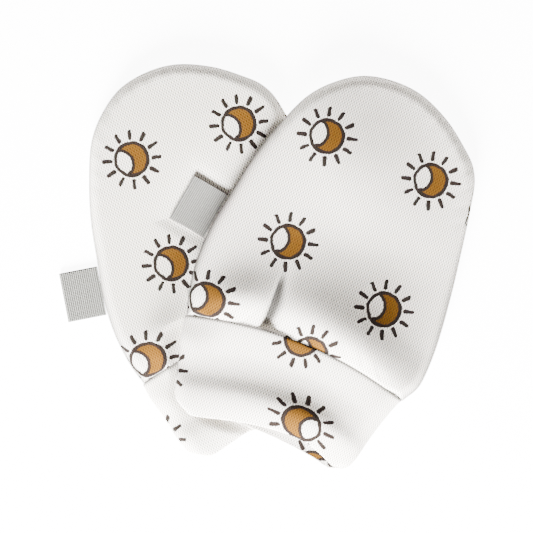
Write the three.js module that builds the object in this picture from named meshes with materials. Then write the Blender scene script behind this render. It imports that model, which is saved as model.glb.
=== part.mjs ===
// A pair of newborn baby mittens in printed cotton interlock, laid flat one across the other.
// Each mitten is a round pouch of two panels, front and back, closed by a seam round the side,
// a deep turned-up cuff sewn across the wrist, and a folded ribbon tag caught in the left side seam.
// Millimetres, +Z up. The mittens lie on z = 0 and the origin is under the middle of the pair.

import * as THREE from "three";

// Cloth.
const PANEL_WALL = 1.3; // one soft layer of interlock
const CUFF_WALL = 1.5; // the same cloth, turned double
const TAG_WALL = 1.0;
const SEAM_GAP = 0.3; // between two pieces at a seam, and between two layers
const SEAM_HALF_ANGLE = 0.03; // radians that half the gap takes of a side's curve

// One mitten in its own frame: u across, v from the wrist to the fingertips, z up. The wrist
// seam crosses v = 0 near both corners. Pouch and cuff together are 80 mm wide, 122 mm long.
// The outline runs from the left wrist corner over the fingertips to the right wrist corner.
// seam is the angle, in degrees above the level of the silhouette, at which the side seam runs:
// the front panel wraps under on the left and the tip, and the back panel shows on the right.
const POUCH_OUTLINE = [
  { u: -36.2, v: 2.0, seam: -20 },
  { u: -38.2, v: 9.5, seam: -30 },
  { u: -39.3, v: 20.0, seam: -30 },
  { u: -38.6, v: 32.0, seam: -30 },
  { u: -36.2, v: 44.0, seam: -30 },
  { u: -33.4, v: 57.0, seam: -30 },
  { u: -29.6, v: 68.5, seam: -30 },
  { u: -24.2, v: 80.5, seam: -30 },
  { u: -17.7, v: 87.9, seam: -25 },
  { u: -9.2, v: 93.4, seam: -20 },
  { u: 0.5, v: 95.2, seam: -20 },
  { u: 10.0, v: 94.2, seam: -20 },
  { u: 20.5, v: 89.4, seam: -20 },
  { u: 29.3, v: 82.6, seam: -15 },
  { u: 34.8, v: 76.2, seam: 8 },
  { u: 37.6, v: 65.0, seam: 42 },
  { u: 39.4, v: 52.0, seam: 46 },
  { u: 41.2, v: 36.0, seam: 46 },
  { u: 42.3, v: 18.0, seam: 46 },
  { u: 41.6, v: 7.5, seam: 42 },
  { u: 37.6, v: -0.2, seam: 20 },
];
const POUCH_CENTRE = { u: 0, v: 42 }; // the panels' rings close in on this point
const SIDE_COLUMNS = 40;
const WRIST_COLUMNS = 23;
const CORNER_SHARE = 0.1; // of the wrist, at each corner, where the side's shape turns into it
const FRONT_ROWS = { edge: 5, crown: 6 };
const BACK_ROWS = { edge: 4, under: 4 };

// The loft of a mitten that lies on a flat surface, its two panels almost on each other.
const SILHOUETTE_HEIGHT = 2.6; // where the side is widest
const CROWN_HEIGHT = 6.0;
const CROWN_RISE = 0.5; // more in the middle of the palm
const THINNEST = 2 * PANEL_WALL + SEAM_GAP; // where a fold presses the panels together
const TOP_ROUNDING = 7; // how far in from the silhouette the top bends down
const UNDER_ROUNDING = 3.2;
const WRIST_ROUNDING = 3.4; // the puff of cloth that stands over the wrist seam
const GROOVE_HEIGHT = 4.5; // of the wrist seam
const GROOVE_DIP = 0.9; // deeper at the tuck's foot
const PUFF_FULLNESS = 2.2; // how steeply the puff stands up from the groove

// Folds of the front panel: each a soft ridge (height above 0) or trough (below 0) about a point
// u across and w above the wrist seam, so one with no turn runs along the seam. upper and lower
// are its half-widths on its two sides, and along is its half-length.
const PANEL_FOLDS = [
  { name: "palmTrough", u: 14, w: 7.2, turn: -2, upper: 11, lower: 3.2, along: 21, height: -1.9 },
  { name: "leftTrough", u: -22.5, w: 7.5, turn: 0, upper: 9, lower: 3, along: 8, height: -1.5 },
  { name: "leftPuff", u: -18, w: 3.5, turn: 0, upper: 3, lower: 4, along: 6, height: 0.5 },
  { name: "palmRidge", u: -6, w: 31, turn: 8, upper: 8, lower: 6, along: 24, height: 0.3 },
];
// The tuck that takes up the pouch's fullness: a groove from the wrist seam up the palm,
// steep on the left, where the cloth folds over, and open on the right.
const TUCK = { u: -12.4, foot: 6, head: 29, depth: 2.4, steep: 1.8, open: 4.6 };

// The cuff from the wrist seam (along 0) to the hem (along 1): its two edges and its top.
const CUFF_SECTIONS = [
  { along: 0.0, left: -36.7, right: 37.2, top: 4.5 },
  { along: 0.08, left: -36.5, right: 36.2, top: 5.8 },
  { along: 0.2, left: -36.0, right: 35.0, top: 6.5 },
  { along: 0.36, left: -34.8, right: 33.5, top: 6.6 },
  { along: 0.55, left: -33.5, right: 32.0, top: 6.0 },
  { along: 0.72, left: -32.5, right: 30.7, top: 5.3 },
  { along: 0.84, left: -31.6, right: 29.7, top: 5.3 },
  { along: 0.94, left: -30.2, right: 28.4, top: 6.1 },
  { along: 1.0, left: -28.4, right: 27.4, top: 5.8 },
];
const CUFF_FOLD = { u: 8, w: -22, turn: 0, upper: 9, lower: 3.5, along: 14, height: -0.9 };
const CUFF_COLUMNS = 48;
const CUFF_ROUNDING = 6;
const HEM_FRONT = { middle: -21.9, at: 8, left: 0.0056, right: 0.017 }; // v of the front lip
const HEM_BACK = { middle: -23.3, at: -5, left: 0.0055, right: 0.0045 }; // shows beyond the front

// The tag: a ribbon folded double, its two ends in the side seam.
const TAG = { width: 16, reach: 12.4, foot: { u: -38.4, v: 34.9 }, turn: 170, fold: 1.15 };
const TAG_CORNERS = 8; // steps round the fold

// Where each mitten lies: its wrist's middle, and its turn, in degrees anticlockwise.
const LOWER = { name: "lower", x: -4.8, y: -26.25, turn: 21 };
const UPPER = { name: "upper", x: 8.0, y: -29.45, turn: -20 };

// The lower mitten is pressed down to this height under the upper one, which rides over it and
// comes down to the surface beyond its edge.
const PRESSED_HEIGHT = 5.1;
const PRESS_EDGE = { reach: 14, rise: 2.5 }; // it swells again beside the upper one
const DRAPE_REACH = 30;

const radians = THREE.MathUtils.degToRad;
const mix = THREE.MathUtils.lerp;

function smooth(low, high, x) {
  const t = THREE.MathUtils.clamp((x - low) / (high - low), 0, 1);
  return t * t * (3 - 2 * t);
}

// The smaller of two heights, with the corner between them rounded over about 1 mm.
function softLower(a, b) {
  const round = 1.2;
  const h = THREE.MathUtils.clamp(0.5 + (0.5 * (b - a)) / round, 0, 1);
  return mix(b, a, h) - round * h * (1 - h);
}

// A quarter ellipse: 0 at the edge, 1 from one rounding inwards.
function quarter(inwards, rounding) {
  const left = 1 - THREE.MathUtils.clamp(inwards / rounding, 0, 1);
  return Math.sqrt(1 - left * left);
}

function arc(hem, u) {
  return hem.middle - (u < hem.at ? hem.left : hem.right) * (u - hem.at) ** 2;
}

function wristSeam(u) {
  return 6.5 - 0.025 * u - 0.0041 * u * u;
}

// Placing: from a mitten's own frame to the pair's, and back.
function toWorld(place, u, v) {
  const turn = radians(place.turn);
  return {
    x: place.x + u * Math.cos(turn) - v * Math.sin(turn),
    y: place.y + u * Math.sin(turn) + v * Math.cos(turn),
  };
}

function toMitten(place, x, y) {
  const turn = radians(place.turn);
  const [dx, dy] = [x - place.x, y - place.y];
  return {
    u: dx * Math.cos(turn) + dy * Math.sin(turn),
    v: dy * Math.cos(turn) - dx * Math.sin(turn),
  };
}

// The outline of a whole mitten, seen from above, as radius against direction from its centre.
const footprint = (() => {
  const onCuff = (u, along) => ({ u, v: mix(wristSeam(u), arc(HEM_BACK, u), along) });
  const sections = CUFF_SECTIONS.slice(1);
  const edges = sections.flatMap(({ along, left, right }) => [onCuff(left, along), onCuff(right, along)]);
  const hem = [-15, 0, 15].map((u) => onCuff(u, 1));
  const points = [...POUCH_OUTLINE, ...edges, ...hem].map(({ u, v }) => polar(u, v));
  return points.sort((a, b) => a.angle - b.angle);
})();

function polar(u, v) {
  const [du, dv] = [u - POUCH_CENTRE.u, v - POUCH_CENTRE.v];
  return { angle: Math.atan2(dv, du), radius: Math.hypot(du, dv) };
}

// How far a point lies outside a mitten's outline; below 0 inside it.
function outside(place, x, y) {
  const { u, v } = toMitten(place, x, y);
  const point = polar(u, v);
  const full = 2 * Math.PI;
  const found = footprint.findIndex((row) => row.angle > point.angle);
  const next = footprint[Math.max(found, 0)];
  const before = footprint.at(Math.max(found, 0) - 1);
  const share = ((point.angle - before.angle + full) % full) / ((next.angle - before.angle + full) % full);
  return point.radius - mix(before.radius, next.radius, share);
}

// The height that a mitten's own cloth starts from: the surface, or the mitten underneath.
function base(place, x, y) {
  if (place === LOWER) return 0;
  const beyond = THREE.MathUtils.clamp(outside(LOWER, x, y) / DRAPE_REACH, 0, 1);
  return (PRESSED_HEIGHT + SEAM_GAP) * (1 - smooth(0, 1, beyond));
}

// A top height as it is under the weight of the upper mitten.
function pressed(place, x, y, height) {
  if (place === UPPER) return height;
  const free = smooth(0, PRESS_EDGE.reach, outside(UPPER, x, y));
  return softLower(height, PRESSED_HEIGHT + PRESS_EDGE.rise * free);
}

// Height that a fold adds at a point.
function fold(row, u, w) {
  const turn = radians(row.turn);
  const [du, dw] = [u - row.u, w - row.w];
  const along = du * Math.cos(turn) + dw * Math.sin(turn);
  const across = dw * Math.cos(turn) - du * Math.sin(turn);
  const width = across > 0 ? row.upper : row.lower;
  return row.height * Math.exp(-((along / row.along) ** 2) - (across / width) ** 2);
}

function tuck(u, v) {
  const across = u - TUCK.u;
  const width = across < 0 ? TUCK.steep : TUCK.open;
  return -TUCK.depth * smooth(TUCK.head, TUCK.foot, v) * Math.exp(-((across / width) ** 2));
}

// Height of the top of the front panel away from its edges.
function crown(place, u, v) {
  const palm = CROWN_RISE * Math.exp(-((u / 27) ** 2) - ((v - 52) / 34) ** 2);
  const folds = PANEL_FOLDS.reduce((sum, row) => sum + fold(row, u, v - wristSeam(u)), 0);
  const { x, y } = toWorld(place, u, v);
  const free = CROWN_HEIGHT + palm + folds + tuck(u, v);
  return pressed(place, x, y, -softLower(-free, -THINNEST));
}

function groove(place, u) {
  const { x, y } = toWorld(place, u, wristSeam(u));
  return pressed(place, x, y, GROOVE_HEIGHT - GROOVE_DIP * Math.exp(-(((u + 2) / 9) ** 2)));
}

// The columns round a pouch: a point of the silhouette, the seam's angle there, and how far the
// column belongs to the open wrist (1) and not to the closed side (0).
function pouchColumns() {
  const points = POUCH_OUTLINE.map((row) => new THREE.Vector3(row.u, row.v, row.seam));
  const curve = new THREE.CatmullRomCurve3(points, false, "centripetal");
  const side = Array.from({ length: SIDE_COLUMNS }, (_, i) => {
    const p = curve.getPointAt(i / SIDE_COLUMNS);
    return { u: p.x, v: p.y, seam: p.z, wrist: 0 };
  });
  const [first, last] = [POUCH_OUTLINE[0], POUCH_OUTLINE.at(-1)];
  const wrist = Array.from({ length: WRIST_COLUMNS }, (_, i) => {
    const t = i / WRIST_COLUMNS;
    const u = mix(last.u, first.u, t);
    const open = smooth(0, CORNER_SHARE, t) * smooth(1, 1 - CORNER_SHARE, t);
    return { u, v: wristSeam(u), seam: mix(last.seam, first.seam, t), wrist: open };
  });
  return [...side, ...wrist];
}

// A point that lies inwards mm from a column's silhouette, on the line to the pouch's centre.
function inFrom(column, inwards) {
  const [du, dv] = [POUCH_CENTRE.u - column.u, POUCH_CENTRE.v - column.v];
  const share = inwards / Math.hypot(du, dv);
  return { u: column.u + du * share, v: column.v + dv * share };
}

const pointOf = (place, u, v, z) => {
  const { x, y } = toWorld(place, u, v);
  return new THREE.Vector3(x, y, z + base(place, x, y));
};

// A side's section at an angle: how far in and how high, for a surface depth mm inside the cloth.
function sideSection(place, column, angle, depth) {
  const rounding = angle > 0 ? TOP_ROUNDING : UNDER_ROUNDING;
  const inwards = depth + (rounding - depth) * (1 - Math.cos(angle));
  const at = inFrom(column, inwards);
  const reach = angle > 0 ? crown(place, at.u, at.v) - SILHOUETTE_HEIGHT : SILHOUETTE_HEIGHT;
  return { inwards, height: SILHOUETTE_HEIGHT + (reach - depth) * Math.sin(angle) };
}

// The front panel's section at an open wrist: the puff that stands over the seam.
function puffSection(place, column, share, depth) {
  const inwards = WRIST_ROUNDING * share;
  const at = inFrom(column, inwards);
  const low = groove(place, column.u);
  return { inwards, height: mix(low, crown(place, at.u, at.v), 1 - (1 - share) ** PUFF_FULLNESS) - depth };
}

// The front panel: rows round its edge from the seam, then rings that close in on the centre.
function frontSurface(place, depth) {
  const rows = [];
  const columns = pouchColumns();
  for (let j = 0; j <= FRONT_ROWS.edge; j++) {
    rows.push(columns.map((column) => {
      const share = j / FRONT_ROWS.edge;
      const start = radians(column.seam) + SEAM_HALF_ANGLE;
      const side = sideSection(place, column, mix(start, Math.PI / 2, share), depth);
      const puff = puffSection(place, column, share, depth);
      const inwards = mix(side.inwards, puff.inwards + SEAM_GAP / 2, column.wrist);
      const at = inFrom(column, inwards);
      return pointOf(place, at.u, at.v, mix(side.height, puff.height, column.wrist));
    }));
  }
  for (let j = 1; j < FRONT_ROWS.crown; j++) {
    rows.push(columns.map((column) => {
      const start = mix(TOP_ROUNDING, WRIST_ROUNDING + SEAM_GAP / 2, column.wrist);
      const reach = Math.hypot(POUCH_CENTRE.u - column.u, POUCH_CENTRE.v - column.v);
      const at = inFrom(column, mix(start, reach, j / FRONT_ROWS.crown));
      return pointOf(place, at.u, at.v, crown(place, at.u, at.v) - depth);
    }));
  }
  const { u, v } = POUCH_CENTRE;
  return { rows, pole: pointOf(place, u, v, crown(place, u, v) - depth) };
}

// The back panel: the same, round the underside.
function backSurface(place, depth) {
  const rows = [];
  const columns = pouchColumns();
  for (let j = 0; j <= BACK_ROWS.edge; j++) {
    rows.push(columns.map((column) => {
      const share = j / BACK_ROWS.edge;
      const start = radians(column.seam) - SEAM_HALF_ANGLE;
      const side = sideSection(place, column, mix(start, -Math.PI / 2, share), depth);
      const flat = SEAM_GAP / 2 + UNDER_ROUNDING * share;
      const at = inFrom(column, mix(side.inwards, flat, column.wrist));
      return pointOf(place, at.u, at.v, mix(side.height, depth, column.wrist));
    }));
  }
  for (let j = 1; j < BACK_ROWS.under; j++) {
    rows.push(columns.map((column) => {
      const reach = Math.hypot(POUCH_CENTRE.u - column.u, POUCH_CENTRE.v - column.v);
      const at = inFrom(column, mix(UNDER_ROUNDING + SEAM_GAP / 2, reach, j / BACK_ROWS.under));
      return pointOf(place, at.u, at.v, depth);
    }));
  }
  return { rows, pole: pointOf(place, POUCH_CENTRE.u, POUCH_CENTRE.v, depth) };
}

// The cuff is a flattened tube: rings from the wrist to the hem, each round the mouth.
function cuffSurface(place, depth) {
  const rows = CUFF_SECTIONS.map(({ along, left, right, top }) =>
    Array.from({ length: CUFF_COLUMNS }, (_, i) => {
      const angle = (2 * Math.PI * i) / CUFF_COLUMNS;
      const half = (right - left) / 2 - depth;
      const u = (left + right) / 2 + half * Math.cos(angle);
      const fromEdge = half * (1 - Math.abs(Math.cos(angle)));
      const onTop = Math.sin(angle) > 0;
      const hem = mix(arc(HEM_BACK, u), arc(HEM_FRONT, u), 0.5 + 0.5 * Math.sin(angle));
      const v = mix(wristSeam(u) - SEAM_GAP / 2, hem, along);
      const { x, y } = toWorld(place, u, v);
      const dip = along === 0 ? groove(place, u) - GROOVE_HEIGHT : 0;
      const trough = fold(CUFF_FOLD, u, v - wristSeam(u));
      const full = pressed(place, x, y, top + dip + trough) - depth;
      const bend = quarter(fromEdge, (onTop ? CUFF_ROUNDING : UNDER_ROUNDING) - depth);
      const height = mix(SILHOUETTE_HEIGHT, onTop ? full : depth, bend);
      return new THREE.Vector3(x, y, height + base(place, x, y));
    }),
  );
  return { rows };
}

// The tag's ribbon, followed from one end in the seam round the fold to the other end.
function tagSurface(place, depth) {
  const turn = radians(TAG.turn);
  const straight = TAG.reach - TAG.fold;
  const path = [0, 0.35, 0.7, 1].map((t) => ({ out: straight * t, up: depth }));
  for (let i = 1; i < TAG_CORNERS; i++) {
    const angle = (Math.PI * i) / TAG_CORNERS - Math.PI / 2;
    const radius = TAG.fold - depth;
    path.push({ out: straight + radius * Math.cos(angle), up: TAG.fold + radius * Math.sin(angle) });
  }
  path.push(...[1, 0.7, 0.35, 0].map((t) => ({ out: straight * t, up: 2 * TAG.fold - depth })));
  const rows = path.map(({ out, up }) =>
    [-0.5, -0.25, 0, 0.25, 0.5].map((share) => {
      const across = TAG.width * share;
      const u = TAG.foot.u + out * Math.cos(turn) - across * Math.sin(turn);
      const v = TAG.foot.v + out * Math.sin(turn) + across * Math.cos(turn);
      const { x, y } = toWorld(place, u, v);
      return new THREE.Vector3(x, y, up + restOfTag(place, x, y));
    }),
  );
  return { rows };
}

// What a tag lies on: the surface, or the front of the lower mitten.
function restOfTag(place, x, y) {
  if (place === LOWER) return 0;
  const { u, v } = toMitten(LOWER, x, y);
  return crown(LOWER, u, v) + 2 * SEAM_GAP;
}

// A closed wall between two surfaces with the same rows and columns. Columns close on
// themselves when round is true, and the last row closes on the surfaces' poles if they have one.
function wallBetween(outer, inner, round) {
  const [rows, columns] = [outer.rows.length, outer.rows[0].length];
  const sheets = [outer, inner];
  const points = sheets.flatMap((sheet) => [...sheet.rows.flat(), ...(sheet.pole ? [sheet.pole] : [])]);
  const perSheet = points.length / 2;
  const at = (sheet, r, c) => sheet * perSheet + r * columns + (c % columns);
  const index = [];
  const quad = (a, b, c, d) => index.push(a, b, c, a, c, d);
  const spans = round ? columns : columns - 1;
  for (let c = 0; c < spans; c++) {
    for (let r = 0; r < rows - 1; r++) {
      quad(at(0, r, c), at(0, r, c + 1), at(0, r + 1, c + 1), at(0, r + 1, c));
      quad(at(1, r, c), at(1, r + 1, c), at(1, r + 1, c + 1), at(1, r, c + 1));
    }
    quad(at(0, 0, c), at(1, 0, c), at(1, 0, c + 1), at(0, 0, c + 1));
    const last = rows - 1;
    if (outer.pole) {
      index.push(at(0, last, c), at(0, last, c + 1), perSheet - 1);
      index.push(at(1, last, c + 1), at(1, last, c), 2 * perSheet - 1);
    } else quad(at(0, last, c), at(0, last, c + 1), at(1, last, c + 1), at(1, last, c));
  }
  if (!round) {
    for (let r = 0; r < rows - 1; r++) {
      const end = columns - 1;
      quad(at(0, r, 0), at(0, r + 1, 0), at(1, r + 1, 0), at(1, r, 0));
      quad(at(0, r, end), at(1, r, end), at(1, r + 1, end), at(0, r + 1, end));
    }
  }
  if (volumeOf(points, index) < 0) {
    for (let i = 0; i < index.length; i += 3) [index[i], index[i + 1]] = [index[i + 1], index[i]];
  }
  const geometry = new THREE.BufferGeometry().setFromPoints(points);
  geometry.setIndex(index);
  geometry.computeVertexNormals();
  return geometry;
}

function volumeOf(points, index) {
  let six = 0;
  for (let i = 0; i < index.length; i += 3) {
    const [a, b, c] = [points[index[i]], points[index[i + 1]], points[index[i + 2]]];
    six += a.dot(new THREE.Vector3().crossVectors(b, c));
  }
  return six / 6;
}

function matte(name, color, roughness) {
  return new THREE.MeshStandardMaterial({ name, color, roughness, metalness: 0 });
}

const cloth = matte("printed_interlock", 0xefedea, 0.9);
const ribbon = matte("tag_ribbon", 0xb9bab5, 0.8);

function piece(name, surface, wall, round, material) {
  const mesh = new THREE.Mesh(wallBetween(surface(0), surface(wall), round), material);
  mesh.name = name;
  return mesh;
}

function mitten(place) {
  const group = new THREE.Group();
  group.add(
    piece(`${place.name}_front_panel`, (depth) => frontSurface(place, depth), PANEL_WALL, true, cloth),
    piece(`${place.name}_back_panel`, (depth) => backSurface(place, depth), PANEL_WALL, true, cloth),
    piece(`${place.name}_cuff`, (depth) => cuffSurface(place, depth), CUFF_WALL, true, cloth),
    piece(`${place.name}_tag`, (depth) => tagSurface(place, depth), TAG_WALL, false, ribbon),
  );
  return group;
}

const pair = new THREE.Group();
pair.add(mitten(LOWER), mitten(UPPER));

export default pair;
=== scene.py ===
# %% [markdown]
# A pair of newborn baby mittens in printed cotton interlock, laid flat one across the other. On
# each, two panels make a pouch, a double cuff is sewn across its wrist, and a folded ribbon is
# caught in the left side seam. They could be modelled by hand or by a cloth simulation. Formulae
# were chosen, so that every fold stays a number that can be read and changed.

import math

import bmesh
import bpy
import numpy as np
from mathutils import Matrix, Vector


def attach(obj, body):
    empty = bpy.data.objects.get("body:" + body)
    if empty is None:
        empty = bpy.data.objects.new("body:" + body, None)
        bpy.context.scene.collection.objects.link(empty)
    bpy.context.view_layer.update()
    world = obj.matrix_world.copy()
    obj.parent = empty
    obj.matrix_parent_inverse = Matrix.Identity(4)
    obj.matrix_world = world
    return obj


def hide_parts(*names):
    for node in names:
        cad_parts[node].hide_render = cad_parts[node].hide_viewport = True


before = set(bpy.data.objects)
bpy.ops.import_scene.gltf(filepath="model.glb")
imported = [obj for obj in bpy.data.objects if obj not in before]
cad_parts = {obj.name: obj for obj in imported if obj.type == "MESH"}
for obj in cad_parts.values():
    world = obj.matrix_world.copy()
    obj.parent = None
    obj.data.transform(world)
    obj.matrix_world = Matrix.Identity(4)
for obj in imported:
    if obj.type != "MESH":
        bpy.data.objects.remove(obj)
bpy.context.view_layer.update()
print("solids:", sorted(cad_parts))

# %% [markdown]
# One mitten has its own frame: u runs across it, v from the wrist to the fingertips and z up, with
# the wrist seam near v = 0, in millimetres until a mesh is made. The pouch's outline could be a
# curve object. A short list of points from the left wrist corner over the tip to the right one is
# easier to read, and seam adds the angle, above the silhouette's level, at which the side seam runs.

# %% Outline of a pouch
MM = 0.001
SEAM_GAP = 0.3
POUCH_OUTLINE = [
    dict(u=-36.2, v=2.0, seam=-20),
    dict(u=-38.2, v=9.5, seam=-30),
    dict(u=-39.3, v=20.0, seam=-30),
    dict(u=-38.6, v=32.0, seam=-30),
    dict(u=-36.2, v=44.0, seam=-30),
    dict(u=-33.4, v=57.0, seam=-30),
    dict(u=-29.6, v=68.5, seam=-30),
    dict(u=-24.2, v=80.5, seam=-30),
    dict(u=-17.7, v=87.9, seam=-25),
    dict(u=-9.2, v=93.4, seam=-20),
    dict(u=0.5, v=95.2, seam=-20),
    dict(u=10.0, v=94.2, seam=-20),
    dict(u=20.5, v=89.4, seam=-20),
    dict(u=29.3, v=82.6, seam=-15),
    dict(u=34.8, v=76.2, seam=8),
    dict(u=37.6, v=65.0, seam=42),
    dict(u=39.4, v=52.0, seam=46),
    dict(u=41.2, v=36.0, seam=46),
    dict(u=42.3, v=18.0, seam=46),
    dict(u=41.6, v=7.5, seam=42),
    dict(u=37.6, v=-0.2, seam=20),
]
CENTRE = dict(u=0.0, v=42.0)
CORNER_SHARE = 0.1
print("outline points:", len(POUCH_OUTLINE))

# %% [markdown]
# A mitten of soft double cloth is about 6 mm high and round at its rims. The front bends further
# than the back, which lies on the table, and it stands up in a puff above the wrist seam. These few
# heights and roundings shape every panel, so that both mittens stay alike.

# %% Heights and roundings
SILHOUETTE_HEIGHT = 2.6
CROWN_HEIGHT = 6.0
THINNEST = 1.5
TOP_ROUNDING = 4.2
UNDER_ROUNDING = 3.2
WRIST_ROUNDING = 1.5
PUFF_FULLNESS = 2.2
print("height of one mitten:", CROWN_HEIGHT, "mm")

# %% [markdown]
# The cuff is a tube that narrows from the wrist seam (along 0) to the hem (along 1). A table of
# sections with a smooth curve through them was chosen over a lofted surface, because the same
# table also gives the cuff's outline. Both edges of the hem arch up in the middle and hang lower
# at the corners, steeper on one side than on the other.

# %% Sections of the cuff
CUFF_SECTIONS = [
    dict(along=0.0, left=-36.7, right=37.2, top=7.4),
    dict(along=0.08, left=-36.5, right=36.2, top=7.15),
    dict(along=0.2, left=-36.0, right=35.0, top=6.5),
    dict(along=0.36, left=-34.8, right=33.5, top=5.5),
    dict(along=0.55, left=-33.5, right=32.0, top=5.2),
    dict(along=0.72, left=-32.5, right=30.7, top=6.2),
    dict(along=0.84, left=-31.6, right=29.7, top=6.1),
    dict(along=0.94, left=-30.2, right=28.4, top=5.7),
    dict(along=1.0, left=-27.8, right=26.8, top=5.3),
]
CUFF_ROUNDING = 6.0
HEM_FRONT = dict(middle=-21.9, at=8, left=0.0056, right=0.017)
HEM_BACK = dict(middle=-24.3, at=-3, left=0.001, right=0.0068)
HEM_LOWEST = -29.4
HEM_CORNER = dict(lift=1.5, start=0.86)
print("cuff sections:", len(CUFF_SECTIONS))

# %% [markdown]
# The tag sits in the left side seam. The lower mitten is turned to the left and the upper one to
# the right, and the upper one presses the lower one flat where they cross. The same values place
# all the pieces of a mitten, which is why each mitten is one small table.

# %% Tag and places
TAG = dict(width=16.0, reach=12.4, u=-38.4, v=34.9, turn=170, fold=0.36)
LOWER = dict(name="lower", x=-4.8, y=-26.25, turn=21)
UPPER = dict(name="upper", x=8.0, y=-29.45, turn=-20)
PRESSED_HEIGHT = 5.1
PRESS_EDGE = dict(reach=9.0, rise=4.2)
DRAPE_REACH = 42.0
TAG_PRESS = dict(depth=0.5, beside=4.5)
print("turned by", LOWER["turn"], "and", UPPER["turn"], "degrees")

# %% [markdown]
# Cloth has no hard corners, so all its heights are joined by soft curves. Blender could round them
# with a modifier afterwards. Three small functions do it in the formula itself, and the mesh needs
# no further levels, and a fourth runs a curve between two points with given slopes.

# %% Soft curves


def smooth(low, high, x):
    t = np.clip((x - low) / (high - low), 0, 1)
    return t * t * (3 - 2 * t)


def mix(a, b, t):
    return a + (b - a) * t


def soft_lower(a, b, round_over=1.2):
    """The smaller of two heights, with the corner between them rounded."""
    h = np.clip(0.5 + 0.5 * (b - a) / round_over, 0, 1)
    return mix(b, a, h) - round_over * h * (1 - h)


def between(p1, m1, p2, m2, t):
    start = (2 * t**3 - 3 * t**2 + 1) * p1 + (t**3 - 2 * t**2 + t) * m1
    return start + (3 * t**2 - 2 * t**3) * p2 + (t**3 - t**2) * m2


print("rounded corner of two equal heights:", soft_lower(1.0, 1.0))

# %% [markdown]
# The folds are soft: a hollow in the palm, puffs above the wrist seam and a ridge along the cuff.
# Each could be sculpted. A bell curve about a point u across and w above the wrist seam is enough,
# with a different width on its upper and lower side, as uneven as cloth is.

# %% Folds
PANEL_FOLDS = [
    dict(name="palm hollow", u=12, w=35, turn=-2, upper=16, lower=13, along=26, height=-2.7),
    dict(name="palm puff", u=14, w=7.0, turn=-6, upper=10, lower=7.5, along=30, height=4.3),
    dict(name="left puff", u=-23.5, w=7.0, turn=0, upper=8, lower=7.0, along=10, height=3.0),
]
CUFF_FOLDS = [
    dict(name="hem ridge", u=8, w=-21.3, turn=6, upper=8, lower=6.5, along=27, height=1.5),
]


def fold_height(row, u, w):
    turn = math.radians(row["turn"])
    du, dw = u - row["u"], w - row["w"]
    along = du * math.cos(turn) + dw * math.sin(turn)
    across = dw * math.cos(turn) - du * math.sin(turn)
    width = np.where(across > 0, row["upper"], row["lower"])
    return row["height"] * np.exp(-((along / row["along"]) ** 2) - (across / width) ** 2)


print("folds:", [row["name"] for row in PANEL_FOLDS + CUFF_FOLDS])

# %% [markdown]
# A pinched tuck runs up from the wrist seam. Its left side is steep and laps a little over the
# right one, which opens in a slow slope. The narrow valley also lies in its own shade, so the same
# place on the cloth is darkened by a second function.

# %% Tuck above the wrist
TUCK = dict(u=-12.4, foot=6, head=30, depth=2.4, steep=0.6, open=3.4)
LAP = dict(rise=0.2, beside=2.4, wide=1.7)
VALLEY_SHADE = dict(depth=0.93, narrow=2.0, widen=2.6, at=15, long=7, foot=0.6)


def tuck_height(u, v):
    across = u - TUCK["u"]
    width = np.where(across < 0, TUCK["steep"], TUCK["open"])
    valley = -TUCK["depth"] * np.exp(-((across / width) ** 2))
    lap = LAP["rise"] * np.exp(-(((across + LAP["beside"]) / LAP["wide"]) ** 2))
    return (valley + lap) * smooth(TUCK["head"], TUCK["foot"] + 5, v)


def tuck_shade(u, v):
    wide_part = np.exp(-(((v - VALLEY_SHADE["at"]) / VALLEY_SHADE["long"]) ** 2))
    fade = VALLEY_SHADE["narrow"] + VALLEY_SHADE["widen"] * wide_part
    across = u - TUCK["u"]
    band = smooth(-0.5, 0, across) * (1 - smooth(0.35, 1.1, across / fade))
    foot = mix(VALLEY_SHADE["foot"], 1, smooth(TUCK["foot"], TUCK["foot"] + 6, v))
    return smooth(TUCK["head"] - 1, TUCK["head"] - 9, v) * band * foot


print("length of the tuck:", TUCK["head"] - TUCK["foot"], "mm")

# %% [markdown]
# Two lines bound the cuff: the wrist seam, bowed up in the middle, and the hem. A parabola gives
# each, because a band of cloth under a light pull takes nearly that curve.

# %% Wrist seam and hem
WRIST = dict(middle=6.5, tilt=0.025, bow=0.0041)


def wrist_seam(u):
    return WRIST["middle"] - WRIST["tilt"] * u - WRIST["bow"] * u * u


def arc(hem, u):
    curve = hem["middle"] - np.where(u < hem["at"], hem["left"], hem["right"]) * (u - hem["at"]) ** 2
    return -soft_lower(-curve, -HEM_LOWEST)


print("cuff length in the middle:", round(float(wrist_seam(0) - arc(HEM_FRONT, 0)), 1), "mm")

# %% [markdown]
# Each mitten is turned on the table. Empties could carry it, but a finished piece has its place in
# its mesh, so two functions turn points there and back. The whole mitten's outline is kept as a
# radius for every direction from the pouch's centre, which tells quickly how far a point lies
# outside it.

# %% Placing the two mittens


def to_world(place, u, v):
    turn = math.radians(place["turn"])
    x = place["x"] + u * math.cos(turn) - v * math.sin(turn)
    return x, place["y"] + u * math.sin(turn) + v * math.cos(turn)


def to_mitten(place, x, y):
    turn = math.radians(place["turn"])
    dx, dy = x - place["x"], y - place["y"]
    return dx * math.cos(turn) + dy * math.sin(turn), dy * math.cos(turn) - dx * math.sin(turn)


def polar(u, v):
    du, dv = u - CENTRE["u"], v - CENTRE["v"]
    return np.arctan2(dv, du), np.hypot(du, dv)


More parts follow.
